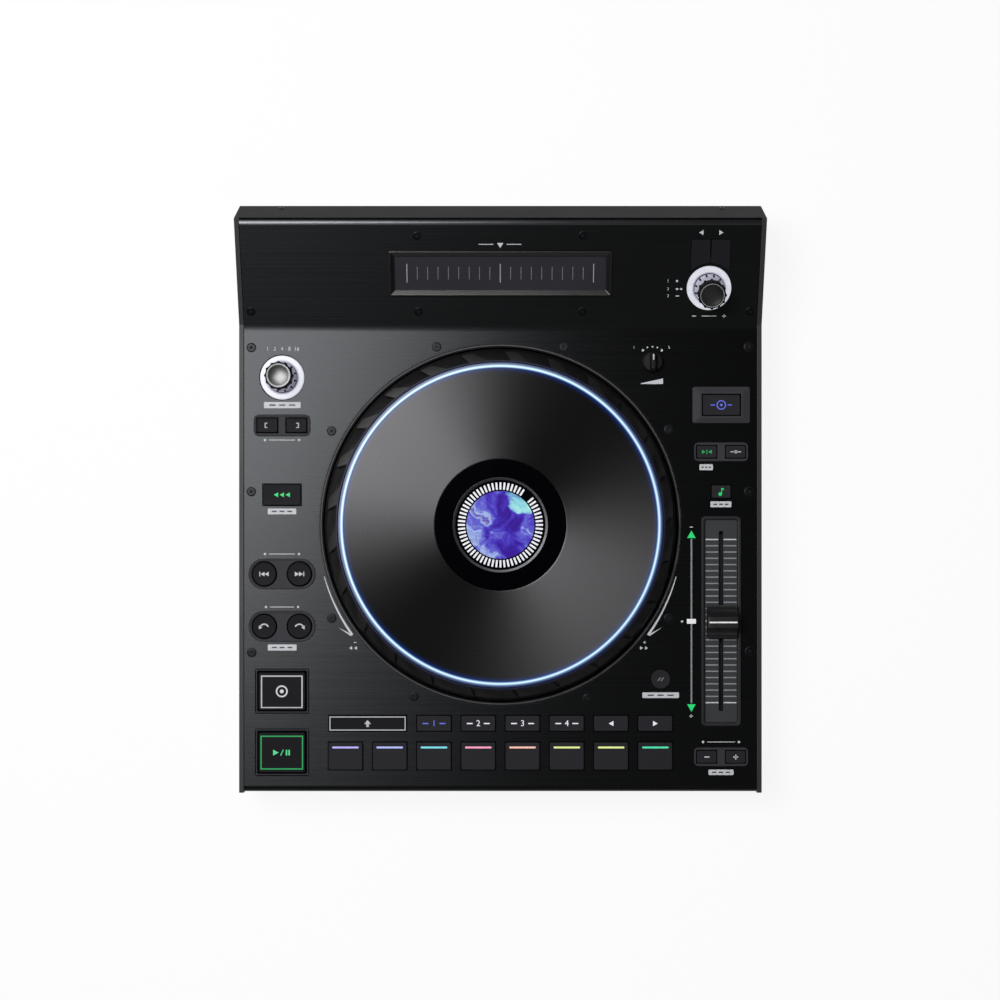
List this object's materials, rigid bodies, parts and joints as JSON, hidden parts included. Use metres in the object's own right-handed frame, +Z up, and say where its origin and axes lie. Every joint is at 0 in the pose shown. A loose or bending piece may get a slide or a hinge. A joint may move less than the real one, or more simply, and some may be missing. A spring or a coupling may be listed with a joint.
{
  "type": "dj controller",
  "caption": "Table-top DJ deck controller: low wedge housing with a bent metal panel, a lit jog wheel round a fixed display, push encoders, a pitch fader, a touch strip and keys.",
  "frame": {"origin": "centre of the base, on the surface that the feet stand on", "axes": "+Z up, +Y to the rear, away from the user, +X to the right of the user"},
  "size_m": [0.32, 0.36, 0.076],
  "materials": {
    "housing_plastic": "fine matt moulded black",
    "panel_metal": "black anodised, brushed across the width",
    "rim_plastic": "glossy black facets",
    "disc_metal": "dark anodised with fine turned grooves",
    "wheel_light": "lit blue-white light guide",
    "encoder_light": "lit white light guide",
    "display_glass": "black glazed lens",
    "strip_plastic": "satin black",
    "fader_plastic": "dark grey satin",
    "knob_plastic": "soft-touch black",
    "foot_rubber": "matt black",
    "steel": "turned",
    "circuit_board": "green solder mask",
    "key_plastic": "dark grey silicone-like plastic"
  },
  "bodies": {
    "chassis": {"housing": "housing_plastic", "top_panel": "panel_metal", "bottom_cover": "housing_plastic", "wheel_bezel": "housing_plastic", "wheel_spindle": "steel", "wheel_bearing": "steel", "centre_display": "display_glass", "needle_drop_strip": "strip_plastic", "fader_plate": "fader_plastic", "main_board": "circuit_board", "control_board": "circuit_board", "button_frame": "housing_plastic", "foot_front_left": "foot_rubber", "foot_front_right": "foot_rubber", "foot_rear_left": "foot_rubber", "foot_rear_right": "foot_rubber", "select_light_ring": "encoder_light", "loop_light_ring": "encoder_light"},
    "platter": {"platter_disc": "disc_metal", "platter_rim": "rim_plastic", "platter_light_ring": "wheel_light"},
    "select_rotor": {"select_rotor": "steel"},
    "select_knob": {"select_knob": "knob_plastic"},
    "loop_rotor": {"loop_rotor": "steel"},
    "loop_knob": {"loop_knob": "knob_plastic"},
    "wheel_adjust_knob": {"wheel_adjust_knob": "knob_plastic"},
    "fader_cap": {"fader_cap": "knob_plastic"},
    "back": {"back": "key_plastic"},
    "forward": {"forward": "key_plastic"},
    "loop_in": {"loop_in": "key_plastic"},
    "loop_out": {"loop_out": "key_plastic"},
    "censor": {"censor": "key_plastic"},
    "skip_back": {"skip_back": "key_plastic"},
    "skip_forward": {"skip_forward": "key_plastic"},
    "jump_back": {"jump_back": "key_plastic"},
    "jump_forward": {"jump_forward": "key_plastic"},
    "cue": {"cue": "key_plastic"},
    "play": {"play": "key_plastic"},
    "shift": {"shift": "key_plastic"},
    "mode_1": {"mode_1": "key_plastic"},
    "mode_2": {"mode_2": "key_plastic"},
    "mode_3": {"mode_3": "key_plastic"},
    "mode_4": {"mode_4": "key_plastic"},
    "page_left": {"page_left": "key_plastic"},
    "page_right": {"page_right": "key_plastic"},
    "pad_1": {"pad_1": "key_plastic"},
    "pad_2": {"pad_2": "key_plastic"},
    "pad_3": {"pad_3": "key_plastic"},
    "pad_4": {"pad_4": "key_plastic"},
    "pad_5": {"pad_5": "key_plastic"},
    "pad_6": {"pad_6": "key_plastic"},
    "pad_7": {"pad_7": "key_plastic"},
    "pad_8": {"pad_8": "key_plastic"},
    "vinyl": {"vinyl": "key_plastic"},
    "sync": {"sync": "key_plastic"},
    "master": {"master": "key_plastic"},
    "key_lock": {"key_lock": "key_plastic"},
    "slip": {"slip": "key_plastic"},
    "bend_minus": {"bend_minus": "key_plastic"},
    "bend_plus": {"bend_plus": "key_plastic"}
  },
  "joints": [
    {"name": "platter_turn", "type": "hinge", "parent": "chassis", "child": "platter", "pos_m": [0, -0.0157, 0.05], "axis": [0, 0, 1], "continuous": true},
    {"name": "select_turn", "type": "hinge", "parent": "chassis", "child": "select_rotor", "pos_m": [0.127, 0.12811, 0.05584], "axis": [0, -0.3437, 0.9391], "continuous": true},
    {"name": "loop_turn", "type": "hinge", "parent": "chassis", "child": "loop_rotor", "pos_m": [-0.1338, 0.0745, 0.05], "axis": [0, 0, 1], "continuous": true},
    {"name": "wheel_adjust_turn", "type": "hinge", "parent": "chassis", "child": "wheel_adjust_knob", "pos_m": [0.093, 0.0839, 0.05], "axis": [0, 0, 1], "range_deg": [-39, 39]},
    {"name": "fader_slide", "type": "slide", "parent": "chassis", "child": "fader_cap", "axis": [0, 1, 0], "range_m": [-0.05, 0.05]},
    {"name": "select_push", "type": "slide", "parent": "select_rotor", "child": "select_knob", "axis": [0, 0.3437, -0.9391], "range_m": [0, 0.0008], "stiffness_N_per_m": 800, "springref_m": -0.0005},
    {"name": "loop_push", "type": "slide", "parent": "loop_rotor", "child": "loop_knob", "axis": [0, 0, -1], "range_m": [0, 0.0008], "stiffness_N_per_m": 800, "springref_m": -0.0005},
    {"name": "back_press", "type": "slide", "parent": "chassis", "child": "back", "axis": [0, 0.3437, -0.9391], "range_m": [0, 0.0008], "stiffness_N_per_m": 800, "springref_m": -0.0005},
    {"name": "forward_press", "type": "slide", "parent": "chassis", "child": "forward", "axis": [0, 0.3437, -0.9391], "range_m": [0, 0.0008], "stiffness_N_per_m": 800, "springref_m": -0.0005},
    {"name": "loop_in_press", "type": "slide", "parent": "chassis", "child": "loop_in", "axis": [0, 0, -1], "range_m": [0, 0.0008], "stiffness_N_per_m": 800, "springref_m": -0.0005},
    {"name": "loop_out_press", "type": "slide", "parent": "chassis", "child": "loop_out", "axis": [0, 0, -1], "range_m": [0, 0.0008], "stiffness_N_per_m": 800, "springref_m": -0.0005},
    {"name": "censor_press", "type": "slide", "parent": "chassis", "child": "censor", "axis": [0, 0, -1], "range_m": [0, 0.0008], "stiffness_N_per_m": 800, "springref_m": -0.0005},
    {"name": "skip_back_press", "type": "slide", "parent": "chassis", "child": "skip_back", "axis": [0, 0, -1], "range_m": [0, 0.0008], "stiffness_N_per_m": 800, "springref_m": -0.0005},
    {"name": "skip_forward_press", "type": "slide", "parent": "chassis", "child": "skip_forward", "axis": [0, 0, -1], "range_m": [0, 0.0008], "stiffness_N_per_m": 800, "springref_m": -0.0005},
    {"name": "jump_back_press", "type": "slide", "parent": "chassis", "child": "jump_back", "axis": [0, 0, -1], "range_m": [0, 0.0008], "stiffness_N_per_m": 800, "springref_m": -0.0005},
    {"name": "jump_forward_press", "type": "slide", "parent": "chassis", "child": "jump_forward", "axis": [0, 0, -1], "range_m": [0, 0.0008], "stiffness_N_per_m": 800, "springref_m": -0.0005},
    {"name": "cue_press", "type": "slide", "parent": "chassis", "child": "cue", "axis": [0, 0, -1], "range_m": [0, 0.0008], "stiffness_N_per_m": 800, "springref_m": -0.0005},
    {"name": "play_press", "type": "slide", "parent": "chassis", "child": "play", "axis": [0, 0, -1], "range_m": [0, 0.0008], "stiffness_N_per_m": 800, "springref_m": -0.0005},
    {"name": "shift_press", "type": "slide", "parent": "chassis", "child": "shift", "axis": [0, 0, -1], "range_m": [0, 0.0008], "stiffness_N_per_m": 800, "springref_m": -0.0005},
    {"name": "mode_1_press", "type": "slide", "parent": "chassis", "child": "mode_1", "axis": [0, 0, -1], "range_m": [0, 0.0008], "stiffness_N_per_m": 800, "springref_m": -0.0005},
    {"name": "mode_2_press", "type": "slide", "parent": "chassis", "child": "mode_2", "axis": [0, 0, -1], "range_m": [0, 0.0008], "stiffness_N_per_m": 800, "springref_m": -0.0005},
    {"name": "mode_3_press", "type": "slide", "parent": "chassis", "child": "mode_3", "axis": [0, 0, -1], "range_m": [0, 0.0008], "stiffness_N_per_m": 800, "springref_m": -0.0005},
    {"name": "mode_4_press", "type": "slide", "parent": "chassis", "child": "mode_4", "axis": [0, 0, -1], "range_m": [0, 0.0008], "stiffness_N_per_m": 800, "springref_m": -0.0005},
    {"name": "page_left_press", "type": "slide", "parent": "chassis", "child": "page_left", "axis": [0, 0, -1], "range_m": [0, 0.0008], "stiffness_N_per_m": 800, "springref_m": -0.0005},
    {"name": "page_right_press", "type": "slide", "parent": "chassis", "child": "page_right", "axis": [0, 0, -1], "range_m": [0, 0.0008], "stiffness_N_per_m": 800, "springref_m": -0.0005},
    {"name": "pad_1_press", "type": "slide", "parent": "chassis", "child": "pad_1", "axis": [0, 0, -1], "range_m": [0, 0.0008], "stiffness_N_per_m": 800, "springref_m": -0.0005},
    {"name": "pad_2_press", "type": "slide", "parent": "chassis", "child": "pad_2", "axis": [0, 0, -1], "range_m": [0, 0.0008], "stiffness_N_per_m": 800, "springref_m": -0.0005},
    {"name": "pad_3_press", "type": "slide", "parent": "chassis", "child": "pad_3", "axis": [0, 0, -1], "range_m": [0, 0.0008], "stiffness_N_per_m": 800, "springref_m": -0.0005},
    {"name": "pad_4_press", "type": "slide", "parent": "chassis", "child": "pad_4", "axis": [0, 0, -1], "range_m": [0, 0.0008], "stiffness_N_per_m": 800, "springref_m": -0.0005},
    {"name": "pad_5_press", "type": "slide", "parent": "chassis", "child": "pad_5", "axis": [0, 0, -1], "range_m": [0, 0.0008], "stiffness_N_per_m": 800, "springref_m": -0.0005},
    {"name": "pad_6_press", "type": "slide", "parent": "chassis", "child": "pad_6", "axis": [0, 0, -1], "range_m": [0, 0.0008], "stiffness_N_per_m": 800, "springref_m": -0.0005},
    {"name": "pad_7_press", "type": "slide", "parent": "chassis", "child": "pad_7", "axis": [0, 0, -1], "range_m": [0, 0.0008], "stiffness_N_per_m": 800, "springref_m": -0.0005},
    {"name": "pad_8_press", "type": "slide", "parent": "chassis", "child": "pad_8", "axis": [0, 0, -1], "range_m": [0, 0.0008], "stiffness_N_per_m": 800, "springref_m": -0.0005},
    {"name": "vinyl_press", "type": "slide", "parent": "chassis", "child": "vinyl", "axis": [0, 0, -1], "range_m": [0, 0.0008], "stiffness_N_per_m": 800, "springref_m": -0.0005},
    {"name": "sync_press", "type": "slide", "parent": "chassis", "child": "sync", "axis": [0, 0, -1], "range_m": [0, 0.0008], "stiffness_N_per_m": 800, "springref_m": -0.0005},
    {"name": "master_press", "type": "slide", "parent": "chassis", "child": "master", "axis": [0, 0, -1], "range_m": [0, 0.0008], "stiffness_N_per_m": 800, "springref_m": -0.0005},
    {"name": "key_lock_press", "type": "slide", "parent": "chassis", "child": "key_lock", "axis": [0, 0, -1], "range_m": [0, 0.0008], "stiffness_N_per_m": 800, "springref_m": -0.0005},
    {"name": "slip_press", "type": "slide", "parent": "chassis", "child": "slip", "axis": [0, 0, -1], "range_m": [0, 0.0008], "stiffness_N_per_m": 800, "springref_m": -0.0005},
    {"name": "bend_minus_press", "type": "slide", "parent": "chassis", "child": "bend_minus", "axis": [0, 0, -1], "range_m": [0, 0.0008], "stiffness_N_per_m": 800, "springref_m": -0.0005},
    {"name": "bend_plus_press", "type": "slide", "parent": "chassis", "child": "bend_plus", "axis": [0, 0, -1], "range_m": [0, 0.0008], "stiffness_N_per_m": 800, "springref_m": -0.0005}
  ]
}
